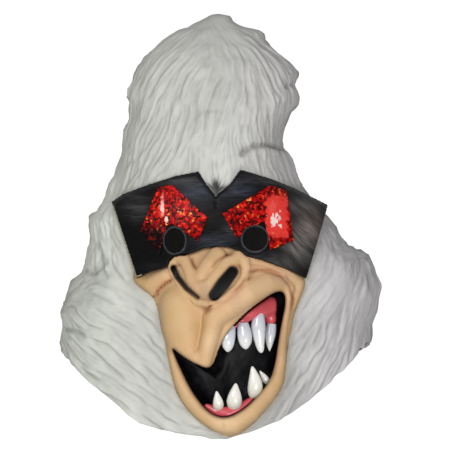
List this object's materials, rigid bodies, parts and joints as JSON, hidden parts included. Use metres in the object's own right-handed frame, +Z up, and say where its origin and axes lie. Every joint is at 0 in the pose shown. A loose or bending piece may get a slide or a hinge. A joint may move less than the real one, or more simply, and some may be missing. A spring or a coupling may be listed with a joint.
{
  "type": "gorilla mask",
  "caption": "Over-the-head latex gorilla mask with a tall crest of sculpted fur, a raised eye mask with foil patches, see-through eye holes and an open snarling mouth.",
  "frame": {"origin": "the point inside the hood where the crown of the wearer's head sits", "axes": "+Z up, the face looks along -Y, +X to the viewer's right"},
  "size_m": [0.2724, 0.2733, 0.362],
  "materials": {
    "fur_latex": "matte cast latex, sculpted fur in light grey-white with grey grooves",
    "skin_latex": "satin painted latex, tan with brown-pink creases",
    "black_latex": "satin black latex with dry-brushed grey streaks",
    "red_foil": "crinkled metallised red film",
    "gum_latex": "glossy red painted latex",
    "tooth_resin": "glossy white"
  },
  "bodies": {
    "root": {"hood": "fur_latex", "face": "skin_latex", "eye_mask": "black_latex", "foil_left": "red_foil", "foil_right": "red_foil", "mouth_lining": "black_latex", "upper_gum": "gum_latex", "lower_gum": "gum_latex", "upper_tooth_1": "tooth_resin", "upper_tooth_2": "tooth_resin", "upper_tooth_3": "tooth_resin", "upper_tooth_4": "tooth_resin", "lower_tooth_1": "tooth_resin", "lower_tooth_2": "tooth_resin", "lower_tooth_3": "tooth_resin", "lower_tooth_4": "tooth_resin"}
  },
  "joints": []
}
